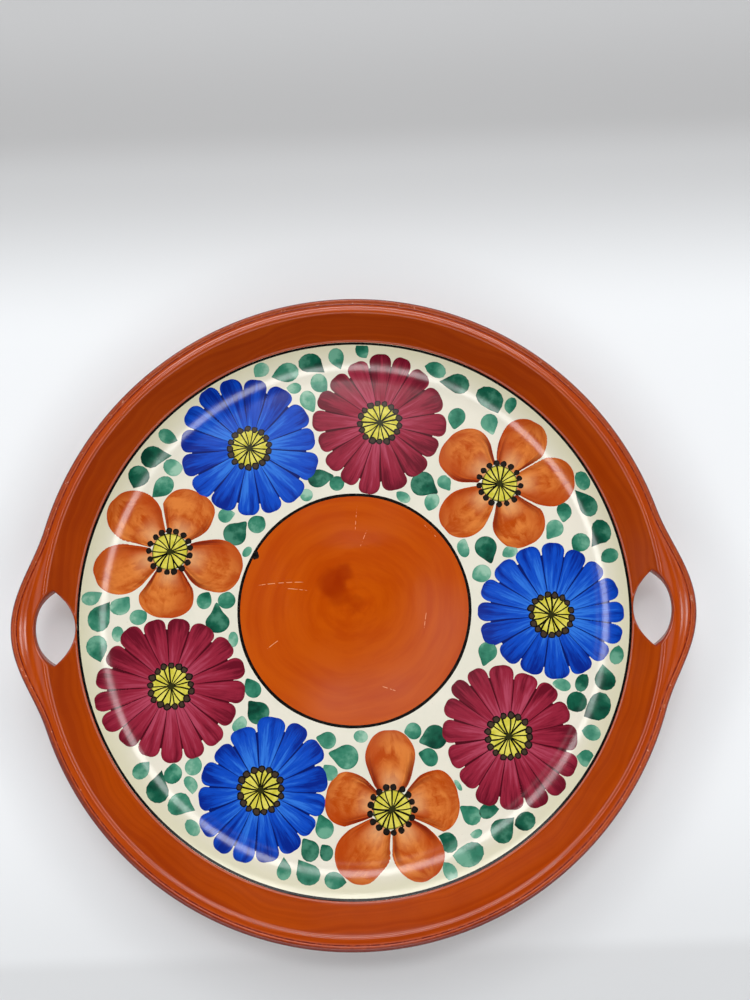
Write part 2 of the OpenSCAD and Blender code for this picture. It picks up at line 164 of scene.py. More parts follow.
def wall_line():
    """Radius and height along the upper side: shoulder, rounded foot of the wall, wall, ridge, lip."""
    start = atan((BORDER_R - FLAT_R) / SHOULDER_CURVE)
    z0 = FLOOR_Z + RISE + COAT - 0.02
    slope = start + 0.5
    for _ in range(30):
        r1 = BORDER_R + WALL_FOOT_ROUND * (sin(slope) - sin(start))
        z1 = z0 + WALL_FOOT_ROUND * (cos(start) - cos(slope))
        slope = atan2(LIP_Z - z1, RIDGE_R - r1)
    out = np.linspace(FLAT_R, BORDER_R - 0.3, 40)
    shoulder = (out, FLOOR_Z + rise(out))
    a = np.linspace(start, slope, 16)
    foot_r = BORDER_R + WALL_FOOT_ROUND * (np.sin(a) - sin(start))
    foot_z = z0 + WALL_FOOT_ROUND * (cos(start) - np.cos(a))
    back = RIDGE_R + RIDGE_ROUND * tan(slope / 2)
    a = np.linspace(slope, 0, 18)
    ridge = (back - RIDGE_ROUND * np.sin(a), LIP_Z - RIDGE_ROUND + RIDGE_ROUND * np.cos(a))
    return np.hstack([shoulder, (foot_r, foot_z), ridge, ([HANDLE_R + 5], [LIP_Z])]).T


def under_line():
    """Radius and height along the underside, with its corners smoothed."""
    s = np.linspace(FLAT_R, BORDER_R, 40)
    tilt = np.arctan((s - FLAT_R) / SHOULDER_CURVE)
    wall_slope = atan2(LIP_Z - FLOOR_Z - RISE, RIDGE_R - BORDER_R)
    lip_start = RIDGE_R + CLAY_T / sin(wall_slope) - LIP_T / tan(wall_slope)
    r = np.concatenate([[FLAT_R - 9], s + CLAY_T * np.sin(tilt), [lip_start, HANDLE_R + 9]])
    z = np.concatenate([[BASE_Z], FLOOR_Z + rise(s) - CLAY_T * np.cos(tilt), [LIP_Z - LIP_T] * 2])
    fine = np.arange(FLAT_R - 9, HANDLE_R + 9, 0.1)
    width = 25
    smooth = np.convolve(np.interp(fine, r, z), np.ones(width) / width, "same")
    inner = slice(width, -width)
    return np.stack([fine[inner], smooth[inner]], -1)


TOP_LINE = wall_line()
UNDER_LINE = under_line()


def from_lug(angle):
    """Angle to the middle of the nearest lug."""
    return np.min([np.abs(wrap(angle - m)) for m in LUG_MIDDLES], axis=0)


def lug_share(angle):
    """How far the rim has grown into a lug at an angle: 0 on the plain rim, 1 at the tip."""
    off = from_lug(angle)
    return np.where(off < LUG_HALF, np.cos(np.radians(90 * off / LUG_HALF)) ** 2, 0.0)


def edge_radius(angle):
    return RIM_R + (HANDLE_R - RIM_R) * lug_share(angle)


def from_hole(x, y):
    """Distance to the nearest finger hole's outline."""
    nearest = np.full(np.shape(x), 1e3)
    for middle in LUG_MIDDLES:
        c, s = cos_sin(middle)
        along, aside = x * c + y * s, np.abs(y * c - x * s)
        gap = np.hypot(along - HOLE_MID, aside - HOLE_L / 2)
        for (arc_x, arc), (other_x, other) in zip(HOLE_ARCS, HOLE_ARCS[::-1]):
            away = np.hypot(along - arc_x, aside)
            foot_x = arc_x + (along - arc_x) * arc / away
            on_arc = np.hypot(foot_x - other_x, aside * arc / away) <= other
            gap = np.where(on_arc & (away >= arc - 1e-6), away - arc, gap)
        nearest = np.minimum(nearest, np.maximum(gap, 0))
    return nearest


def hole_rounding(x, y):
    """How far the surface drops away towards a finger hole."""
    inside = np.clip(HOLE_ROUND - from_hole(x, y), 0, HOLE_ROUND)
    return HOLE_ROUND - np.sqrt(HOLE_ROUND**2 - inside**2)


def body_top(r, angle):
    """Height of the clay's upper side, from the shoulder to the top of the bead."""
    share, edge = lug_share(angle), edge_radius(angle)
    z = np.interp(r, TOP_LINE[:, 0], TOP_LINE[:, 1])
    across_lip = np.clip((r - RIDGE_R - 0.8) / (edge - BEAD_ZONE - RIDGE_R - 0.8), 0, 1)
    z = z - (LIP_DISH + (LUG_DISH - LIP_DISH) * share) * np.sin(pi * across_lip) ** 2
    towards_bead = np.clip((edge - r - BEAD_TOP) / (BEAD_ZONE - BEAD_TOP), 0, 1)
    z = z + BEAD_H * 0.5 * (1 + np.cos(pi * towards_bead))
    return z - hole_rounding(*polar(r, angle))


def body_under(r, angle):
    """Height of the clay's underside."""
    z = np.interp(r, UNDER_LINE[:, 0], UNDER_LINE[:, 1])
    outer = np.clip((r - RIDGE_R) / 3, 0, 1)
    z = z - (LUG_T - LIP_T) * lug_share(angle) * outer
    return z + hole_rounding(*polar(r, angle))


def rim_top(x, y):
    return body_top(np.hypot(x, y), np.degrees(np.arctan2(y, x)))


# ---- meshes ----


def new_piece(name, points, faces, attributes=None):
    mesh = bpy.data.meshes.new(name)
    mesh.from_pydata((np.asarray(points) * MM).tolist(), [], faces)
    for key, values in (attributes or {}).items():
        mesh.attributes.new(key, "FLOAT", "POINT").data.foreach_set("value", np.asarray(values, np.float32))
    mesh.polygons.foreach_set("use_smooth", [True] * len(mesh.polygons))
    return add_object(name, mesh)


def place(piece, slot, material, *nodes):
    """Gives a finished piece its material and its body, and hides the CAD nodes that it stands for. The slot
    is not used.
    """
    piece.data.materials.append(material)
    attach(piece, "root")
    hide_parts(*nodes)


def quads(index, around=False):
    """Faces between the neighbouring rows and columns of a grid of vertex numbers."""
    right = np.roll(index, -1, axis=1) if around else index[:, 1:]
    left = index if around else index[:, :-1]
    return np.stack([left[:-1], left[1:], right[1:], right[:-1]], -1).reshape(-1, 4)


def spread(count, power):
    """Shares from 0 to 1 that lie closer together near 0."""
    return np.linspace(0, 1, count) ** power


def turned(name, line, segments=256):
    """Solid of revolution. The line is a clockwise loop of (radius, height); on the axis it caps itself."""
    turn = np.arange(segments) * 2 * pi / segments
    points, rings, faces = [], [], []
    for r, z in line:
        ring = [(0, 0, z)] if r < 1e-6 else [(r * cos(a), r * sin(a), z) for a in turn]
        rings.append(list(range(len(points), len(points) + len(ring))))
        points += ring
    for ring, after in zip(rings, rings[1:] + rings[:1]):
        if len(ring) == len(after):
            faces += quads(np.stack([ring, after]), around=True).tolist() if len(ring) > 1 else []
        elif len(ring) == 1:
            faces += [(ring[0], a, b) for a, b in zip(after, after[1:] + after[:1])]
        else:
            faces += [(after[0], b, a) for a, b in zip(ring, ring[1:] + ring[:1])]
    piece = new_piece(name, points, faces)
    piece.data.set_sharp_from_angle(angle=radians(35))
    return piece


def lug_columns():
    """Angles of the body's columns: dense round the handles, even elsewhere."""
    hole = HOLE_HALF * (1 - spread(19, 1.6)[::-1])
    shoulder = HOLE_HALF + (LUG_HALF - HOLE_HALF) * spread(19, 1.6)
    half = np.concatenate([hole, shoulder[1:]])
    whole = np.concatenate([-half[::-1], half[1:]])
    angles = []
    for middle, after in zip(LUG_MIDDLES, (LUG_MIDDLES[1], LUG_MIDDLES[0] + 360)):
        angles.append(middle + whole)
        angles.append(np.linspace(middle + LUG_HALF, after - LUG_HALF, 97)[1:-1])
    return np.concatenate(angles)


def hole_edges(angle):
    """Radii of the finger hole's inner and outer edge, equal where there is no hole."""
    inner = np.full(len(angle), HOLE_TIP_R)
    outer = inner.copy()
    for middle in LUG_MIDDLES:
        off = np.radians(wrap(angle - middle))
        open_here = np.abs(off) < radians(HOLE_HALF) - 1e-6
        o = off[open_here]
        inner[open_here] = INNER_ARC_X * np.cos(o) - np.sqrt(INNER_ARC**2 - (INNER_ARC_X * np.sin(o)) ** 2)
        outer[open_here] = OUTER_ARC_X * np.cos(o) + np.sqrt(OUTER_ARC**2 - (OUTER_ARC_X * np.sin(o)) ** 2)
    return inner, outer


def build_body():
    """The rim wall and the two handles, cut from one continuous clay surface so that no seam shows."""
    angle = lug_columns()
    columns = len(angle)
    inner, outer = hole_edges(angle)
    is_open = outer - inner > 1e-6
    edge = edge_radius(angle)

    shoulder = np.linspace(FLAT_R, BORDER_R, 18)[:-1, None] + 0 * inner
    r_in = np.concatenate([shoulder, BORDER_R + (inner - BORDER_R) * (1 - spread(28, 1.8)[::-1, None])])
    r_out = outer + (edge - BEAD_ZONE - outer) * spread(26, 1.5)[:, None]
    bead_in = edge - np.linspace(BEAD_ZONE, BEAD_TOP, 9)[1:, None]
    quarter = np.radians(np.linspace(0, 90, 9)[1:, None])
    roll_r = edge - BEAD_TOP * (1 - np.sin(quarter))
    roll_z = EDGE_Z + (LIP_Z + BEAD_H - EDGE_Z) * np.cos(quarter) + 0 * edge
    tuck_r = edge - TUCK * (1 - np.cos(quarter))
    lip_under_z = LIP_Z - LIP_T - (LUG_T - LIP_T) * lug_share(angle)
    tuck_z = EDGE_Z - (EDGE_Z - lip_under_z) * np.sin(quarter)

    top_r = np.concatenate([r_out, bead_in])
    rim_r = np.concatenate([top_r, roll_r, tuck_r])
    rim_z = np.concatenate([body_top(top_r, angle), roll_z, tuck_z])
    inner_top, inner_under = body_top(r_in, angle), body_under(r_in, angle)
    layers = ((r_in, inner_top), (rim_r, rim_z), (r_in, inner_under), (r_out, body_under(r_out, angle)))
    grids, points, start = [], [], 0
    for r, z in layers:
        grids.append(start + np.arange(r.size).reshape(r.shape))
        start += r.size
        points.append(np.stack([*polar(r, angle), z], -1).reshape(-1, 3))
    points = np.concatenate(points)
    i_top_in, i_top_out, i_under_in, i_under_out = grids
    # Where the rim has no hole, the first outer row is the last inner row
    i_top_out[0] = np.where(is_open, i_top_out[0], i_top_in[-1])
    i_under_out[0] = np.where(is_open, i_under_out[0], i_under_in[-1])

    def wall(upper, lower, keep):
        """Upright faces between an upper and a lower row of vertices."""
        after_u, after_l = np.roll(upper, -1), np.roll(lower, -1)
        return np.stack([upper, lower, after_l, after_u], -1)[keep]

    def cut_face(column, flip):
        """Closes a piece where it meets its neighbour along a column."""
        top, below = i_top_out[:, column], i_under_out[:, column]
        last = len(below) - 1
        faces = [(top[i], top[i + 1], below[i + 1], below[i]) for i in range(last)]
        return [f[::flip] for f in faces + [(*top[last:], below[last])]]

    def outer_wall(keep, flip=-1):
        return wall(i_top_out[0], i_under_out[0], keep)[:, ::flip]

    open_span = is_open | np.roll(is_open, -1)
    middle_of_span = angle + wrap(np.roll(angle, -1) - angle) / 2
    in_lug = from_lug(middle_of_span) < LUG_HALF

    def skin_of(index, flip=1):
        """Faces of a grid, by row and column."""
        return quads(index, around=True)[:, ::flip].reshape(-1, columns, 4)

    def gather(*groups):
        return np.concatenate([g.reshape(-1, 4) for g in groups])

    top_skin_in, top_skin_out = skin_of(i_top_in), skin_of(i_top_out)
    under_skin_in, under_skin_out = skin_of(i_under_in, -1), skin_of(i_under_out, -1)
    closing = wall(i_top_out[-1], i_under_out[-1], slice(None))
    hole_in_wall = wall(i_top_in[-1], i_under_in[-1], open_span)

    skins = (top_skin_in, top_skin_out, under_skin_in, under_skin_out)
    skin = gather(*skins, closing, hole_in_wall, outer_wall(open_span))
    a, b, c, d = (points[skin[:, k]] for k in range(4))
    facing = np.cross(c - a, d - b)
    normals = np.zeros_like(points)
    for k in range(4):
        np.add.at(normals, skin[:, k], facing)
    normals /= np.maximum(np.linalg.norm(normals, axis=1, keepdims=True), 1e-12)

    x, y = points[:, 0], points[:, 1]
    under = np.zeros(len(points))
    for group in (i_under_in, i_under_out, i_top_out[-5:]):
        under[group] = 1
    from_edge = edge_radius(np.degrees(np.arctan2(y, x))) - np.hypot(x, y)
    facts = {"from_edge": from_edge, "from_hole": from_hole(x, y), "under": under}

    pieces = {}
    column_ends = []
    for name, middle in zip(("handle_right", "handle_left"), LUG_MIDDLES):
        mine = np.abs(wrap(middle_of_span - middle)) < LUG_HALF
        first = int(np.argmin(np.abs(wrap(angle - middle + LUG_HALF))))
        last = int(np.argmin(np.abs(wrap(angle - middle - LUG_HALF))))
        column_ends.append((first, last))
        rows = (top_skin_out[:, mine], under_skin_out[:, mine], closing[mine])
        shown = gather(*rows, outer_wall(open_span & mine))
        hidden = outer_wall(mine & ~open_span).tolist() + cut_face(first, 1) + cut_face(last, -1)
        pieces[name] = (shown, hidden)
    outside_lugs = (top_skin_out[:, ~in_lug], under_skin_out[:, ~in_lug], closing[~in_lug])
    shown = gather(top_skin_in, under_skin_in, *outside_lugs, hole_in_wall)
    hidden = wall(i_top_in[0], i_under_in[0], slice(None))[:, ::-1].tolist()
    hidden += outer_wall(in_lug & ~open_span, 1).tolist()
    for first, last in column_ends:
        hidden += cut_face(first, -1) + cut_face(last, 1)
    pieces["rim_wall"] = (shown, hidden)
    return {k: skin_piece(k + "_glazed", points, *faces, normals, facts) for k, faces in pieces.items()}


def skin_piece(name, points, shown, hidden, normals, facts):
    """A piece whose shown faces shade as one surface with its neighbours."""
    faces = shown.tolist() + hidden
    used = np.unique([v for f in faces for v in f])
    renumber = np.full(len(points), -1)
    renumber[used] = np.arange(len(used))
    faces = [renumber[list(f)].tolist() for f in faces]
    piece = new_piece(name, points[used], faces, {k: v[used] for k, v in facts.items()})
    mesh = piece.data
    mesh.polygons.foreach_set("use_smooth", [True] * len(shown) + [False] * len(hidden))
    loops = []
    for k, polygon in enumerate(mesh.polygons):
        smooth = k < len(shown)
        loops += [tuple(normals[used[v]]) if smooth else tuple(polygon.normal) for v in polygon.vertices]
    mesh.normals_split_custom_set(loops)
    return piece


class Paint:
    """Wafer-thin closed patches of paint that lie on a surface, gathered into one piece."""

    SUNK = 0.08

    def __init__(self, surface):
        self.surface = surface
        self.points, self.faces, self.normals, self.count = [], [], [], 0
        self.facts = {"along": [], "across": [], "tone": []}

    def add(self, x, y, lift, along, across, tone, shape="strip"):
        """Adds a grid of points. A strip is open, a disc closes round its centre and a ring is hollow."""
        rows, columns = x.shape
        around = shape != "strip"
        ground = self.surface(x, y)
        top = np.stack([x, y, ground + lift], -1).reshape(-1, 3)
        below = np.stack([x, y, ground - self.SUNK], -1).reshape(-1, 3)
        index = self.count + np.arange(rows * columns).reshape(rows, columns)
        under = index + rows * columns
        self.points += [top, below]
        self.normals += [self.surface_normals(x, y), np.tile((0.0, 0.0, -1.0), (rows * columns, 1))]
        self.count += 2 * rows * columns
        sides = [quads(index, around), quads(under, around)[:, ::-1]]
        sides.append(quads(np.stack([index[-1], under[-1]]), around))
        if shape == "disc":
            self.faces += [index[0].tolist(), under[0, ::-1].tolist()]
        else:
            sides.append(quads(np.stack([under[0], index[0]]), around))
        if shape == "strip":
            ends = (index[:, 0], under[:, 0]), (under[:, -1], index[:, -1])
            sides += [quads(np.stack(pair)) for pair in ends]
        self.faces += np.concatenate(sides).tolist()
        for key, value in (("along", along), ("across", across), ("tone", tone)):
            flat = np.broadcast_to(value, x.shape).ravel()
            self.facts[key] += [flat, flat]

    def surface_normals(self, x, y):
        """The paint lies under the glaze, so it shades like the surface that it lies on."""
        step = 0.05
        slope_x = (self.surface(x + step, y) - self.surface(x - step, y)) / (2 * step)
        slope_y = (self.surface(x, y + step) - self.surface(x, y - step)) / (2 * step)
        normals = np.stack([-slope_x, -slope_y, np.ones(x.shape)], -1).reshape(-1, 3)
        return normals / np.linalg.norm(normals, axis=1)[:, None]

    def piece(self, name):
        facts = {key: np.concatenate(values) for key, values in self.facts.items()}
        piece = new_piece(name, np.concatenate(self.points), self.faces, facts)
        piece.data.normals_split_custom_set_from_vertices(np.concatenate(self.normals).tolist())
        return piece


# ---- outlines of the painted motifs, read from the CAD model ----


def islands(node):
    """Outline points, from above, of each separate solid of a CAD node, in a steady order."""
    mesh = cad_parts[node].data
    keys, same = np.unique(np.round(node_points(node), 3), axis=0, return_inverse=True)
    same = same.ravel()
    parent = list(range(len(keys)))

    def root(i):
        while parent[i] != i:
            parent[i] = parent[parent[i]]
            i = parent[i]
        return i

    edge_points = set()
    for polygon in mesh.polygons:
        corners = [int(same[v]) for v in polygon.vertices]
        for v in corners[1:]:
            parent[root(v)] = root(corners[0])
        if abs(polygon.normal.z) < 0.3:
            edge_points.update(corners)
    groups = {}
    for i in sorted(edge_points):
        groups.setdefault(root(i), []).append(keys[i, :2])
    found = [np.unique(np.round(g, 2), axis=0) for g in groups.values()]
    return sorted(found, key=lambda g: tuple(np.round(g.mean(0), 1)))


CENTRES = np.array([(g.max(0) + g.min(0)) / 2 for g in islands("flower_eyes")])
EYE_R = (np.ptp(islands("flower_eyes")[0], axis=0) / 2).max()


def petals_of(node):
    """The flower's centre and, for each petal, its direction, reach, angles to both sides and half width."""
    shapes = islands(node)
    middle = np.mean([s.mean(0) for s in shapes], axis=0)
    centre = CENTRES[np.argmin(np.linalg.norm(CENTRES - middle, axis=1))]
    petals = []
    for shape in shapes:
        ray = shape - centre
        reach = np.linalg.norm(ray, axis=1)
        tip = ray[np.argmax(reach)]
        turn = degrees(atan2(tip[1], tip[0]))
        off = wrap(np.degrees(np.arctan2(ray[:, 1], ray[:, 0])) - turn)
        aside = reach * np.sin(np.radians(off))
        petals.append((turn, reach.max(), off.max(), -off.min(), np.abs(aside).max()))
    return centre, sorted(petals)


# Which of the nine are the orange flowers, whose anthers stand apart
ORANGE = [petals_of(f"orange_flower_{k}")[0].tolist() for k in (1, 2, 3)]
BROAD = [centre.tolist() in ORANGE for centre in CENTRES]


def narrow_half_width(s, reach, side_angle):
    """Half width of a narrow petal at the distance s from the flower's centre."""
    open_out = s * tan(radians(side_angle)) + 0.14
    shoulder = 0.82 * reach
    past = np.clip((s - shoulder) / (reach - shoulder), 0, 1)
    return open_out * (1 - past**2.5) ** 0.5


def broad_half_width(s, reach, side_angle, widest):
    """Half width of a broad petal at the distance s from the flower's centre."""
    middle = (EYE_R + reach) / 2
    before = np.clip((s - EYE_R) / (middle - EYE_R), 0, 1)
    past = np.clip((s - middle) / (reach - middle), 0, 1)
    body = widest * (0.62 + 0.38 * np.sin(before * pi / 2)) * np.sqrt(1 - past**2.5)
    return np.minimum(body, s * tan(radians(side_angle)) + 0.1)


def along_ray(centre, turn, s, aside):
    """x and y of points at the distance s along a ray from a flower's centre, moved aside."""
    c, sn = cos_sin(turn)
    return centre[0] + s * c - aside * sn, centre[1] + s * sn + aside * c


def paint_petal(paint, centre, turn, start, reach, widths, lift, tone):
    """One brush stroke from the eye outwards. Widths gives the half width to either side."""
    s = start + (reach - start) * (1 - spread(26, 2.1)[::-1])
    t = np.array([-1, -0.94, -0.78, -0.5, -0.2, 0.2, 0.5, 0.78, 0.94, 1])
    wobble = [1 + 0.025 * np.sin(s * draw.uniform(0.25, 0.5) + draw.uniform(0, 6)) for _ in range(2)]
    left, right = (w(s) * b for w, b in zip(widths, wobble))
    aside = np.where(t > 0, t * left[:, None], t * right[:, None])
    x, y = along_ray(centre, turn, s[:, None], aside)
    along = (s - start) / (reach - start)
    soft = np.minimum(1, (1 - np.abs(t)) / 0.1) * np.minimum(1, (1 - along[:, None]) / 0.02)
    paint.add(x, y, -0.02 + (lift + 0.02) * soft, along[:, None], t, tone)


def under_wash(paint, centre, petals, tone):
    """Thin dark wash under the narrow petals, which shows as fine lines between them."""
    angle = np.radians(np.arange(0, 360, 4))
    turns, reaches = np.array(petals)[:, :2].T
    reach = np.interp(np.degrees(angle), turns, reaches, period=360) * 0.87
    share = np.linspace(0.04, 1, 26)[:, None]
    lift = np.where(share < 1, 0.008, -0.02)
    x, y = centre[0] + reach * share * np.cos(angle), centre[1] + reach * share * np.sin(angle)
    paint.add(x, y, lift, 0.5, 0.0, tone, "disc")


def build_flower(node, broad):
    centre, petals = petals_of(node)
    paint = Paint(floor_top)
    if not broad:
        under_wash(paint, centre, petals, -1)
    for k, (turn, reach, left, right, widest) in enumerate(petals):
        lift = 0.016 + 0.006 * (k % 3)
        if broad:
            widths = [lambda s, a=a: broad_half_width(s, reach + 0.5, a, widest + 0.3) for a in (left, right)]
        else:
            widths = [lambda s, a=a: narrow_half_width(s, reach + 0.5, a) for a in (left, right)]
        paint_petal(paint, centre, turn, EYE_R - 1.2, reach + 0.5, widths, lift, draw.uniform(0, 1))
    return paint.piece(node + "_painted")


def smooth_outline(points, steps=4):
    """The points' middle, and round it a smooth closed curve near the points, taken in turn."""
    middle = (points.max(0) + points.min(0)) / 2
    ray = points - middle
    ray = ray[np.argsort(np.arctan2(ray[:, 1], ray[:, 0]))]
    before, after, later = np.roll(ray, 1, 0), np.roll(ray, -1, 0), np.roll(ray, -2, 0)
    curve = []
    for u in np.arange(steps) / steps:
        bend = 2 * before - 5 * ray + 4 * after - later
        twist = 3 * ray - before - 3 * after + later
        curve.append(ray + 0.5 * ((after - before) * u + bend * u**2 + twist * u**3))
    curve = np.stack(curve, 1).reshape(-1, 2)
    return middle, 0.25 * np.roll(curve, 1, 0) + 0.5 * curve + 0.25 * np.roll(curve, -1, 0)


RING_SHARES = np.array([0.04, 0.35, 0.65, 0.85, 0.92, 0.97, 1.0])


def paint_blot(paint, middle, outline, lift, tone):
    """A filled outline, slightly domed, with a soft edge."""
    share = RING_SHARES[:, None]
    x, y = middle[0] + outline[:, 0] * share, middle[1] + outline[:, 1] * share
    radius = np.linalg.norm(outline, axis=1)
    tip = outline[np.argmax(radius)] / radius.max()
    along = (outline @ tip) / radius.max() * share
    soft = np.minimum(1, (1 - share) / 0.06)
    paint.add(x, y, -0.02 + (lift + 0.02) * soft, along, share, tone, "disc")


def build_leaves(node):
    paint = Paint(floor_top)
    for points in islands(node):
        if len(points) < 5 or np.ptp(points, axis=0).min() < 0.8:
            continue
        middle, outline = smooth_outline(points)
        paint_blot(paint, middle, outline * 1.05, 0.012, draw.uniform(0, 1))
    return paint.piece(node + "_painted")


def round_outline(radius, wobble, count):
    angle = np.arange(count) * 2 * pi / count
    phase = draw.uniform(0, 6, 3)
    waves = sum(np.sin((k + 2) * angle + phase[k]) for k in range(3)) / 3
    r = radius * (1 + wobble * waves)
    return np.stack([r * np.cos(angle), r * np.sin(angle)], -1)


def build_eyes():
    paint = Paint(floor_top)
    for centre, broad in zip(CENTRES, BROAD):
        radius = EYE_R - 0.5 if broad else EYE_R + 0.05
        paint_blot(paint, centre, round_outline(radius, 0.045, 72), 0.055, draw.uniform(0, 1))
    return paint.piece("flower_eyes_painted")


def build_stamens():
    hub_r, line_w, count = 1.5, 0.78, 17
    paint = Paint(floor_top)
    for centre in CENTRES:
        paint_blot(paint, centre, round_outline(hub_r, 0.12, 24), 0.075, -1.5)
        first = draw.uniform(0, 360)
        for k in range(count):
            turn = first + 360 * k / count + draw.uniform(-4, 4)
            s = np.linspace(hub_r * 0.6, EYE_R - draw.uniform(0.0, 0.7), 9)
            bend = draw.uniform(-0.5, 0.5) * np.sin(s / EYE_R * pi)
            half = line_w * draw.uniform(0.34, 0.6) * (0.75 + 0.4 * s / EYE_R)
            t = np.array([-1, -0.85, 0.85, 1])
            aside = bend[:, None] + half[:, None] * t
            x, y = along_ray(centre, turn, s[:, None], aside)
            lift = np.where(np.abs(t) < 1, 0.07, -0.02) + 0 * s[:, None]
            paint.add(x, y, lift, (s / EYE_R)[:, None], t, draw.uniform(0, 1))
    return paint.piece("stamen_lines_painted")


def build_anthers():
    paint = Paint(floor_top)
    for points in islands("anther_dots"):
        spot = (points.max(0) + points.min(0)) / 2
        nearest = int(np.argmin(np.linalg.norm(CENTRES - spot, axis=1)))
        radius = np.ptp(points, axis=0).max() / 2
        inwards = (CENTRES[nearest] - spot) * (0.085 if BROAD[nearest] else 0.12)
        place_at = spot + inwards + draw.uniform(-0.3, 0.3, 2)
        if BROAD[nearest]:
            paint_blot(paint, place_at, round_outline(radius * draw.uniform(1.0, 1.2), 0.1, 24), 0.1, 1.0)
        else:
            size = radius * draw.uniform(1.1, 1.4)
            paint_blot(paint, place_at, round_outline(size, 0.14, 24), 0.09, draw.uniform(0.0, 0.4))
    return paint.piece("anther_dots_painted")


def brushed_ring(paint, inner, outer, lift, seed, wobble=0.12):
    """A line drawn by brush on the turning wheel: its radius and width waver a little."""
    angle = np.radians(np.arange(0, 360, 1.0))
    drift = wobble * (np.sin(2 * angle + seed) + 0.5 * np.sin(5 * angle + 2 * seed))
    swell = 0.5 * wobble * (np.sin(3 * angle + 3 * seed) + np.sin(11 * angle + seed))
    t = np.array([0, 0.12, 0.35, 0.65, 0.88, 1])[:, None]
    r = inner + drift + (outer - inner + swell) * t
    soft = np.array([-0.02, lift, lift, lift, lift, -0.02])[:, None]
    paint.add(r * np.cos(angle), r * np.sin(angle), soft, angle / (2 * pi), 2 * t - 1, 0.5, "ring")


def build_centre_line():
    paint = Paint(floor_top)
    brushed_ring(paint, CENTRE_R - 0.65, CENTRE_R + 0.75, 0.03, 1.0)
    smudge = round_outline(1.8, 0.2, 28) * np.array([0.75, 1.1])
    paint_blot(paint, np.array([-41.6, 24.2]), smudge, 0.045, 0.2)
    return paint.piece("centre_line_painted")


def border_surface(x, y):
    r = np.hypot(x, y)
    wall = np.interp(r, TOP_LINE[:, 0], TOP_LINE[:, 1]) - hole_rounding(x, y)
    return np.where(r < BORDER_R, floor_top(x, y), wall)


def build_border_line():
    paint = Paint(border_surface)
    brushed_ring(paint, BORDER_R - 1.0, BORDER_R + 0.08, 0.035, 2.0, 0.05)
    return paint.piece("border_line_painted")


def build_edge_line():
    """Dark red line just inside the bead, round the lugs too."""
    paint = Paint(rim_top)
    angle = lug_columns()
    inset = np.array([2.75, 2.66, 2.45, 2.24, 2.16])[:, None]
    r = edge_radius(angle) - inset + 0.08 * np.sin(np.radians(angle * 4))
    lift = np.array([-0.02, 0.02, 0.02, 0.02, -0.02])[:, None]
    paint.add(*polar(r, angle), lift, angle / 360, 0.0, 0.5, "ring")
    return paint.piece("edge_line_painted")


def build_ground():
    """Ivory glaze from the centre disc to the foot of the wall."""
    flat, shoulder = np.linspace(CENTRE_R + 1, FLAT_R - 1, 16), np.linspace(FLAT_R, BORDER_R, 20)
    r = np.concatenate([[CENTRE_R], flat, shoulder])
    lower = [(s, FLOOR_Z + rise(s)) for s in r]
    upper = [(s, z + COAT) for s, z in lower]
    return turned("ground_glaze_coat", lower + upper[::-1], 300)


def build_centre():
    r = [0, 3, 8, 14, 21, 28, 35, 41, 46, CENTRE_R]
    upper = [(s, FLOOR_Z + COAT) for s in r]
    return turned("centre_enamel_coat", [(0, FLOOR_Z), (CENTRE_R, FLOOR_Z)] + upper[::-1], 200)


def build_floor_disc():
    """Flat base, very slightly hollow underneath inside the foot ring."""
    hollow = 0.25
    r = np.array([0, 8, 20, 35, 50, 65, 78, 88, FLAT_R])
    under = [(s, BASE_Z + hollow * cos(min(s / 88, 1) * pi / 2)) for s in r]
    return turned("floor_disc_glazed", under + [(FLAT_R, FLOOR_Z), (0, FLOOR_Z)], 256)


def build_foot_ring():
    """Turned foot: glazed sides that flare into the base, and a flat bare face to stand on."""
    middle, half = FOOT_OUT - FOOT_W / 2, FOOT_W / 2
    height = BASE_Z
    loop = [(middle + half + 0.55, height + 0.1), (middle - half - 0.55, height + 0.1)]
    loop += [(middle - half - 0.2, height - 0.25), (middle - half, height - 0.6), (middle - half + 0.2, 1.6)]
    quarter = np.radians(np.linspace(0, 90, 7))
    for side, turns in ((-1, quarter), (1, quarter[::-1])):
        reach = middle + side * (half - 0.5 - 0.9 * (1 - np.cos(turns)))
        loop += list(zip(reach, 0.9 * (1 - np.sin(turns))))
    loop += [(middle + half - 0.2, 1.6), (middle + half, height - 0.6), (middle + half + 0.2, height - 0.25)]
    return turned("foot_ring_glazed", loop, 256)


# ---- materials ----


def srgb(red, green, blue):
    """Linear colour of an 8-bit display colour."""
    value = np.array([red, green, blue]) / 255
    linear = np.where(value <= 0.04045, value / 12.92, ((value + 0.055) / 1.055) ** 2.4)
    return (*linear.tolist(), 1.0)


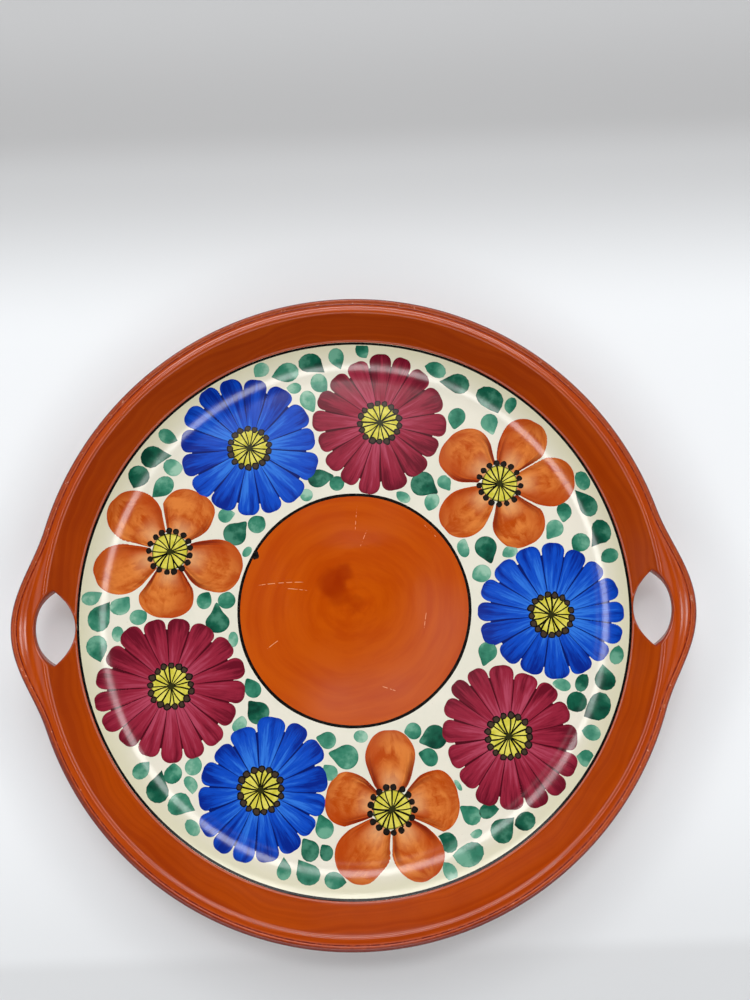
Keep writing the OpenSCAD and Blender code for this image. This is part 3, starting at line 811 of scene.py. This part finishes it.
class Graph:
    """Short names for the shader nodes of one material or world."""

    def __init__(self, owner):
        self.owner = owner
        owner.use_nodes = True
        self.tree = owner.node_tree
        self.tree.nodes.clear()

    def add(self, kind, inputs=(), **settings):
        node = self.tree.nodes.new("ShaderNode" + kind)
        for key, value in settings.items():
            setattr(node, key, value)
        for key, value in dict(inputs).items():
            if isinstance(value, bpy.types.NodeSocket):
                self.tree.links.new(value, node.inputs[key])
            else:
                node.inputs[key].default_value = value
        return node

    def math(self, operation, a, b=0, c=0):
        return self.add("Math", {0: a, 1: b, 2: c}, operation=operation).outputs[0]

    plus = partialmethod(math, "ADD")
    minus = partialmethod(math, "SUBTRACT")
    times = partialmethod(math, "MULTIPLY")
    times_plus = partialmethod(math, "MULTIPLY_ADD")
    absolute = partialmethod(math, "ABSOLUTE")
    larger = partialmethod(math, "MAXIMUM")

    def sway(self, noise, amount, base=0):
        """The base, moved to either side by a noise that lies round one half."""
        return self.times_plus(self.minus(noise, 0.5), amount, base)

    def between(self, value, low_end, high_end, to_low=0, to_high=1):
        """Smooth step of a value, from to_low at low_end to to_high at high_end."""
        inputs = enumerate((value, low_end, high_end, to_low, to_high))
        return self.add("MapRange", inputs, interpolation_type="SMOOTHSTEP").outputs[0]

    def fade(self, value, low_end, high_end, start=1):
        return self.between(value, low_end, high_end, start, 0)

    def mix(self, share, first, second):
        return self.add("Mix", {0: share, 6: first, 7: second}, data_type="RGBA").outputs[2]

    def noise(self, vector, scale, detail=3, rough=0.5):
        inputs = {"Vector": vector, "Scale": scale, "Detail": detail, "Roughness": rough}
        return self.add("TexNoise", inputs).outputs["Fac"]

    def fact(self, name):
        return self.add("Attribute", attribute_name=name).outputs["Fac"]

    def stroke(self):
        """Place along and across a brush stroke, and the stroke's own tone."""
        return [self.fact(name) for name in ("along", "across", "tone")]

    def vector(self, x, y, z=0):
        return self.add("CombineXYZ", {0: x, 1: y, 2: z}).outputs[0]

    def place(self):
        """Position on the plate in millimetres."""
        node = self.add("VectorMath", {0: self.add("TexCoord").outputs["Object"]}, operation="SCALE")
        node.inputs["Scale"].default_value = 1000
        return node.outputs[0]

    def axes(self, vector):
        return self.add("SeparateXYZ", {0: vector}).outputs

    def finish(self, kind, shader):
        self.tree.links.new(shader.outputs[0], self.add("Output" + kind).inputs[0])

    def length(self, vector):
        return self.add("VectorMath", {0: vector}, operation="LENGTH").outputs["Value"]


def flat_radius(g, place):
    x, y, _ = g.axes(place)
    return g.length(g.vector(x, y))


def glaze(g, colour, roughness, bump=None, depth=0.02, shine_level=0.5):
    """Clear glaze over a colour. The bump is a height in the range 0 to 1, depth its size in millimetres."""
    place = g.place()
    speck = g.noise(place, 2.2, 4)
    shine = g.between(g.noise(place, 0.05, 3), 0.3, 0.7, roughness * 0.85, roughness * 1.25)
    waver = g.times_plus(g.noise(place, 0.045, 2), 3, g.times(speck, 0.03))
    height = g.plus(waver, bump) if bump else waver
    relief = g.add("Bump", {"Height": height, "Distance": depth * MM, "Strength": 1})
    inputs = {"Base Color": colour, "Roughness": shine, "Normal": relief.outputs[0], "IOR": 1.5}
    shader = g.add("BsdfPrincipled", {**inputs, "Specular IOR Level": shine_level})
    g.finish("Material", shader)
    return g.owner


def material(name):
    return Graph(bpy.data.materials.new(name))


def wheel_rings(g, place, per_mm, twist=0.35):
    """Brush rings left on the turning wheel, from 0 to 1."""
    x, y, _ = g.axes(place)
    radius = flat_radius(g, place)
    drift = g.times_plus(g.noise(place, 0.02, 2), 12, radius)
    reach = g.math("DIVIDE", twist, g.larger(radius, 0.5))
    turn_x, turn_y = g.times(x, reach), g.times(y, reach)
    return g.noise(g.vector(g.times(drift, per_mm), turn_x, turn_y), 1, 4, 0.6)


def rim_material():
    """Burnt orange, laid on by brush on the turning wheel, with painted shade darkening the outer edge and a
    painted highlight along the bead.
    """
    g = material("rim_enamel")
    place = g.place()
    x, y, height = g.axes(place)
    rings = wheel_rings(g, place, 0.7)
    colour = g.mix(g.between(rings, 0.3, 0.7), srgb(164, 58, 2), srgb(182, 72, 6))
    cloud = g.between(g.noise(place, 0.03, 4, 0.6), 0.38, 0.7)
    colour = g.mix(g.times(cloud, 0.35), colour, srgb(150, 46, 1))
    edge, hole, under = g.fact("from_edge"), g.fact("from_hole"), g.fact("under")
    ragged = g.sway(g.noise(place, 0.5, 3), 0.8)
    # Painted shade: the dark band along the outer edge is made wider towards the front (low y).
    front_painted_shade = g.between(g.times_plus(x, 0.35, y), -62, -105, 0, 0.75)
    edge_here = g.minus(g.plus(edge, ragged), front_painted_shade)
    # Painted shade: dark red along the outer edge, standing in for the dark reflection where the edge falls
    # away.
    bare = g.fade(edge_here, 0.45, 1.3)
    colour = g.mix(g.times(bare, 0.88), colour, srgb(100, 24, 14))
    # Painted highlight: a lighter band along the top of the bead.
    band = g.times(g.between(edge_here, 1.2, 1.6), g.fade(edge_here, 1.9, 2.4))
    colour = g.mix(g.times(band, 0.35), colour, srgb(196, 92, 44))
    # Paler spots of wear, kept inside the painted highlight band, which brighten it further.
    wear_and_highlight_spots = g.times(band, g.between(g.noise(place, 0.35, 5, 0.7), 0.6, 0.68))
    colour = g.mix(g.times(wear_and_highlight_spots, 0.8), colour, srgb(226, 170, 140))
    dark_hole = g.fade(g.times_plus(ragged, 0.4, hole), 0.15, 0.75, 0.6)
    colour = g.mix(dark_hole, colour, srgb(128, 38, 14))
    fade = g.fade(g.times_plus(g.noise(place, 0.12, 4), 5, height), 12, 14.5)
    fade = g.times(fade, g.between(hole, 1, 3))
    colour = g.mix(g.times(under, fade), colour, srgb(222, 212, 186))
    return glaze(g, colour, 0.11, rings, 0.01)


def ivory_material(name, bare_foot=False):
    g = material(name)
    place = g.place()
    radius = flat_radius(g, place)
    cloud = g.between(g.noise(place, 0.05, 4, 0.6), 0.35, 0.7)
    colour = g.mix(cloud, srgb(230, 225, 209), srgb(223, 220, 203))
    near_border = g.between(radius, BORDER_R - 13, BORDER_R - 1)
    colour = g.mix(g.times(near_border, 0.6), colour, srgb(212, 208, 168))
    speck = g.between(g.noise(place, 1.1, 2), 0.74, 0.78)
    colour = g.mix(g.times(speck, 0.35), colour, srgb(150, 130, 95))
    if bare_foot:
        low_down = g.fade(g.times_plus(g.noise(place, 0.4, 4), 0.6, g.axes(place)[2]), 0.55, 0.8)
        clay = g.mix(g.noise(place, 0.9, 5), srgb(196, 158, 118), srgb(168, 124, 88))
        colour = g.mix(low_down, colour, clay)
    return glaze(g, colour, 0.12)


# Darker thumbed patch in the middle of the enamel: x, y, radius and strength
DARK_PATCHES = [(-9, 11.5, 6, 0.9), (-3.5, 15.5, 5, 0.9), (-6, 7, 5, 0.7), (0.7, 2.5, 4, 0.5)]

# Fine scratches in the enamel: x, y, direction and length
SCRATCHES = [
    (-31, 12, 2, 20), (-24, 9, -8, 9), (2, 39, 84, 11), (5, 30, 66, 8),
    (34, 32, -48, 8), (30, -6, 80, 7), (-35, -14, 35, 6), (14, -34, -20, 7),
]


def centre_material():
    g = material("centre_enamel")
    place = g.place()
    x, y, _ = g.axes(place)
    rings = wheel_rings(g, place, 0.2, 0.8)
    colour = g.mix(g.between(rings, 0.3, 0.7), srgb(180, 66, 0), srgb(192, 80, 3))
    pull = g.sway(g.noise(place, 0.09, 3), 9)
    for px, py, size, strength in DARK_PATCHES:
        gap = g.length(g.vector(g.minus(x, px), g.minus(y, py)))
        inside = g.fade(g.plus(gap, pull), size * 0.55, size * 1.35, strength * 0.75)
        colour = g.mix(inside, colour, srgb(150, 40, 0))
    nick = g.noise(place, 0.6, 3)
    for px, py, turn, size in SCRATCHES:
        c, s = cos_sin(turn)
        dx, dy = g.minus(x, px), g.minus(y, py)
        run = g.times_plus(dx, c, g.times(dy, s))
        aside = g.times_plus(dy, c, g.times(dx, -s))
        bent = g.absolute(g.times_plus(g.times(run, run), 0.004, aside))
        line = g.times(g.fade(bent, 0.06, 0.2), g.fade(g.absolute(run), size * 0.4, size * 0.5))
        line = g.times(line, g.between(nick, 0.42, 0.52))
        colour = g.mix(g.times(line, 0.8), colour, srgb(236, 176, 124))
    return glaze(g, colour, 0.1, rings, 0.006)


def brush_streaks(g, across_scale, along_scale):
    """Noise drawn out along a brush stroke, different in every stroke."""
    along, across, tone = g.stroke()
    shifted = g.times_plus(tone, 17, g.times(across, across_scale))
    return g.noise(g.vector(shifted, g.times(along, along_scale), g.times(tone, 9)), 1, 4, 0.62)


def narrow_petal_material(name, deep, full, light):
    """Loaded brush stroke: light streaks near the eye, deep colour towards the tip."""
    g = material(name)
    along, across, tone = g.stroke()
    streak = brush_streaks(g, 2.2, 1.3)
    fine = brush_streaks(g, 8, 0.9)
    mixed = g.times_plus(fine, 0.25, g.times(streak, 0.75))
    reach = g.times_plus(g.minus(along, 0.45), -0.27, mixed)
    reach = g.sway(tone, 0.17, reach)
    colour = g.mix(g.between(reach, 0.28, 0.48), deep, full)
    colour = g.mix(g.times(g.between(reach, 0.48, 0.7), 0.85), colour, light)
    rim = g.between(g.sway(fine, 0.25, g.absolute(across)), 0.82, 1)
    tip = g.between(along, 0.88, 1)
    colour = g.mix(g.times(g.larger(rim, tip), 0.6), colour, deep)
    dark = tuple(0.55 * c for c in deep[:3]) + (1,)
    seam = g.times(g.between(g.absolute(across), 0.92, 1), g.fade(along, 0.8, 0.95))
    colour = g.mix(g.times(seam, 0.15), colour, dark)
    colour = g.mix(g.fade(tone, -0.5, -0.01), colour, dark)
    return glaze(g, colour, 0.11, fine, 0.01)


def broad_petal_material():
    """Orange petal: rounded brush swirls, pale middle, dark red-brown strokes beside its base."""
    g = material("petal_orange")
    along, across, tone = g.stroke()
    streak = brush_streaks(g, 3, 1.2)
    side = g.absolute(across)
    arch = g.times_plus(g.times(side, side), 0.3, along)
    arch = g.times_plus(streak, 0.35, arch)
    swirl = g.noise(g.vector(g.times(arch, 4.5), g.times(tone, 23), across), 1, 4, 0.6)
    brushed = g.plus(g.times(swirl, 0.6), g.times(streak, 0.4))
    colour = g.mix(g.between(brushed, 0.38, 0.62), srgb(180, 70, 6), srgb(216, 124, 54))
    one_side = g.times(across, g.between(tone, 0.35, 0.65, -1, 1))
    shade = g.between(g.times_plus(streak, 0.8, one_side), 0.4, 1.2)
    colour = g.mix(g.times(shade, 0.75), colour, srgb(178, 64, 10))
    pale = g.times(g.fade(along, 0.04, 0.46), g.fade(side, 0.1, 0.75))
    colour = g.mix(g.times(pale, 0.55), colour, srgb(236, 188, 134))
    fine = brush_streaks(g, 7, 0.6)
    base = g.times(g.fade(along, 0.2, 0.75), g.between(side, 0.5, 0.9))
    base = g.times(base, g.between(fine, 0.38, 0.5))
    base = g.times(base, g.between(tone, 0.1, 0.7, 0.35, 1))
    colour = g.mix(base, colour, srgb(112, 24, 8))
    colour = g.mix(g.between(along, 0.68, 1, 0, 0.5), colour, srgb(172, 72, 26))
    rim = g.larger(g.between(side, 0.84, 1), g.between(along, 0.92, 1))
    colour = g.mix(g.times(rim, 0.6), colour, srgb(176, 60, 12))
    return glaze(g, colour, 0.11, swirl, 0.01)


def leaf_material(name, deep, full, light):
    """Green wash that pooled towards one side of each stroke."""
    g = material(name)
    place = g.place()
    x, y, _ = g.axes(place)
    along, share, tone = g.stroke()
    cloud = g.noise(g.vector(g.times_plus(tone, 31, x), y), 0.16, 3, 0.55)
    pool = g.times_plus(along, 0.16, g.sway(tone, 0.16, cloud))
    colour = g.mix(g.between(pool, 0.3, 0.52), light, full)
    colour = g.mix(g.between(pool, 0.5, 0.74), colour, deep)
    rim = g.between(g.times_plus(g.noise(place, 0.5, 3), 0.2, share), 0.95, 1.1)
    colour = g.mix(g.times(rim, 0.5), colour, deep)
    return glaze(g, colour, 0.12)


def eye_material():
    g = material("eye_yellow")
    place = g.place()
    share = g.fact("across")
    cloud = g.noise(place, 0.3, 4, 0.6)
    colour = g.mix(g.between(cloud, 0.35, 0.65), srgb(200, 190, 58), srgb(222, 212, 96))
    colour = g.mix(g.fade(share, 0.1, 0.45, 0.45), colour, srgb(168, 156, 40))
    colour = g.mix(g.between(share, 0.87, 0.96, 0, 0.9), colour, srgb(56, 48, 18))
    return glaze(g, colour, 0.12)


def ink_material(name, thick, thin, shine_level=0.5):
    """Painted dark line or dot, thinner in places."""
    g = material(name)
    place = g.place()
    tone = g.fact("tone")
    cloud = g.times_plus(g.minus(0.75, tone), 0.25, g.noise(place, 0.55, 4, 0.6))
    colour = g.mix(g.between(cloud, 0.5, 0.75), thick, thin)
    return glaze(g, colour, 0.13, shine_level=shine_level)


def anther_material():
    """Dots: full black on the orange flowers, grey with a black outline on the others."""
    g = material("anther_black")
    place = g.place()
    share, tone = g.fact("across"), g.fact("tone")
    hollow = g.times(g.fade(share, 0.45, 0.8), g.between(tone, 0.45, 0.9, 0.5, 0.08))
    colour = g.mix(g.between(g.noise(place, 0.8, 4), 0.4, 0.7), srgb(8, 8, 8), srgb(30, 26, 22))
    colour = g.mix(hollow, colour, srgb(90, 72, 56))
    return glaze(g, colour, 0.13)


# ---- the plate ----

rim_enamel = rim_material()
for part, piece in build_body().items():
    place(piece, "enamel_orange", rim_enamel, part)

ivory = ivory_material("ivory_glaze")
place(build_floor_disc(), "glaze_ivory", ivory, "floor_disc")
place(build_foot_ring(), "glaze_ivory", ivory_material("foot_glaze", bare_foot=True), "foot_ring")
place(build_ground(), "glaze_ivory", ivory, "ground_glaze")
place(build_centre(), "enamel_orange", centre_material(), "centre_enamel")

black = ink_material("line_black", srgb(10, 10, 10), srgb(34, 30, 26), 0.12)
place(build_centre_line(), "line_black", black, "centre_line")
place(build_border_line(), "line_black", black, "border_line")
red = ink_material("line_red", srgb(112, 26, 12), srgb(160, 60, 26))
place(build_edge_line(), "line_red", red, "edge_line")

blues = srgb(3, 36, 136), srgb(12, 72, 188), srgb(52, 124, 222)
crimsons = srgb(102, 14, 34), srgb(145, 34, 56), srgb(178, 72, 96)
petal_paints = {
    "blue": narrow_petal_material("petal_blue", *blues),
    "crimson": narrow_petal_material("petal_crimson", *crimsons),
    "orange": broad_petal_material(),
}
for colour_name, paint_material in petal_paints.items():
    for number in (1, 2, 3):
        flower_node = f"{colour_name}_flower_{number}"
        flower_piece = build_flower(flower_node, broad=colour_name == "orange")
        place(flower_piece, "petal_" + colour_name, paint_material, flower_node)

place(build_eyes(), "eye_yellow", eye_material(), "flower_eyes")
olive = ink_material("stamen_olive", srgb(12, 12, 4), srgb(46, 46, 14))
place(build_stamens(), "stamen_olive", olive, "stamen_lines")
place(build_anthers(), "anther_black", anther_material(), "anther_dots")

leaf_greens = {
    "dark": (srgb(6, 58, 44), srgb(18, 88, 66), srgb(66, 128, 104)),
    "mid": (srgb(22, 92, 70), srgb(52, 126, 100), srgb(104, 164, 138)),
    "light": (srgb(58, 128, 104), srgb(92, 156, 130), srgb(150, 192, 168)),
}
for tone_name, greens in leaf_greens.items():
    leaf_node, leaf_slot = "leaves_" + tone_name, "leaf_" + tone_name
    place(build_leaves(leaf_node), leaf_slot, leaf_material(leaf_slot, *greens), leaf_node)

# ---- floor, light and camera ----


def flat_square(name, x, y, z, half):
    """A level square, in metres."""
    mesh = bpy.data.meshes.new(name)
    corners = [(x + i * half, y + j * half, z) for i, j in ((-1, -1), (1, -1), (1, 1), (-1, 1))]
    mesh.from_pydata(corners, [], [(0, 1, 2, 3)])
    return add_object(name, mesh)


def build_floor():
    floor = flat_square("studio_floor", 0, 0, 0, 3)
    g = material("pale_floor")
    place = g.place()
    y = g.axes(place)[1]
    # Painted shade: the floor darkens towards the back, a little less again furthest back, and towards the
    # front with a sharper step just before the plate.
    back = g.plus(g.between(y, 125, 212, 0, 0.46), g.between(y, 204, 230, 0, 0.14))
    back = g.minus(back, g.between(y, 235, 300, 0, 0.1))
    front_painted_shade = g.plus(g.between(y, -70, -145, 0, 0.13), g.between(y, -136, -144, 0, 0.12))
    shade = g.plus(back, front_painted_shade)
    colour = g.mix(shade, srgb(236, 238, 240), srgb(116, 112, 110))
    shader = g.add("BsdfPrincipled", {"Base Color": colour, "Roughness": 0.55, "IOR": 1.3})
    g.finish("Material", shader)
    floor.data.materials.append(g.owner)


def build_sky():
    """Soft studio light from all sides, with a dim zenith so that the flat glaze keeps its colour."""
    world = bpy.data.worlds.new("studio")
    bpy.context.scene.world = world
    g = Graph(world)
    direction = g.add("TexCoord").outputs["Generated"]
    x, y, z = g.axes(direction)
    overhead = g.between(z, 0.72, 0.88, 1.05, 0.08)
    low_down = g.between(z, 0.2, 0.55, 0.08, 1)
    side = g.between(y, -0.8, 0.8, 0.85, 1.1)
    band = g.times(g.between(z, 0.47, 0.53), g.fade(z, 0.57, 0.63))
    overhead = g.times_plus(band, 3.6, overhead)
    strength = g.times(g.times(overhead, low_down), side)
    off_side = g.absolute(g.plus(x, 0.06))
    veil = g.times(g.between(y, 0.15, 0.3), g.fade(off_side, 0.08, 0.24))
    strength = g.plus(strength, g.times(veil, 0.65))
    aside, ahead = g.plus(x, 0.027), g.minus(y, 0.038)
    gap = g.length(g.vector(aside, ahead))
    ragged = g.sway(g.noise(direction, 14, 3), 0.04, gap)
    toward = g.math("DIVIDE", g.times_plus(aside, 0.57, g.times(ahead, -0.82)), gap)
    crescent = g.times(g.between(ragged, 0.066, 0.086), g.fade(gap, 0.115, 0.14))
    crescent = g.times(crescent, g.between(toward, 0.3, 0.65))
    strength = g.times_plus(crescent, 1.2, strength)
    strength = g.times(strength, 0.88)
    background = g.add("Background", {"Color": (0.985, 0.992, 1, 1), "Strength": strength})
    g.finish("World", background)


def area_light(name, shape, size, energy, location):
    """A light that faces the plate."""
    light = bpy.data.lights.new(name, "AREA")
    light.shape = shape
    light.size, light.size_y = size
    light.energy = energy
    lamp = add_object(name, light)
    lamp.location = location
    lamp.rotation_mode = "QUATERNION"
    lamp.rotation_quaternion = (-Vector(location)).to_track_quat("-Z", "Y")
    return lamp


def build_lights():
    """A soft panel behind the plate, which the lip mirrors, and a small lamp that only draws highlights.
    A dark card beside the camera keeps the lamp off the flat middle."""
    area_light("back_panel", "RECTANGLE", (1.4, 0.4), 13, (-0.04, 0.95, 2))
    lamp_out, lamp_angle = 0.12, radians(110)
    lamp_at = (lamp_out * cos(lamp_angle), lamp_out * sin(lamp_angle), 2)
    area_light("ceiling_lamp", "DISK", (0.22, 0.22), 0.95, lamp_at).visible_diffuse = False
    half, level = 0.042, CAMERA_PLACE[2] * MM + 0.02
    x, y = (v * level / lamp_at[2] for v in lamp_at[:2])
    card = flat_square("dark_card", x, y, level, half)
    g = material("card_black")
    shader = g.add("BsdfPrincipled", {"Base Color": (0.01, 0.01, 0.01, 1), "Roughness": 0.9})
    g.finish("Material", shader)
    card.data.materials.append(g.owner)
    card.visible_camera = False
    card.visible_diffuse = False


CAMERA_PLACE = (10.7, -15.4, 391.2)
CAMERA_AIM = (10.5, 46.5, 7)
CAMERA_ROLL = -2.2
LENS = 32.26


def build_camera():
    data = bpy.data.cameras.new("camera")
    data.lens = LENS
    data.clip_start = 0.01
    camera = add_object("camera", data)
    place_at, aim = Vector(CAMERA_PLACE) * MM, Vector(CAMERA_AIM) * MM
    camera.location = place_at
    camera.rotation_mode = "QUATERNION"
    roll = Quaternion((0, 0, 1), radians(CAMERA_ROLL))
    camera.rotation_quaternion = (aim - place_at).to_track_quat("-Z", "Y") @ roll
    bpy.context.scene.camera = camera


build_floor()
build_sky()
build_lights()
build_camera()
bpy.context.scene.view_settings.view_transform = "Standard"
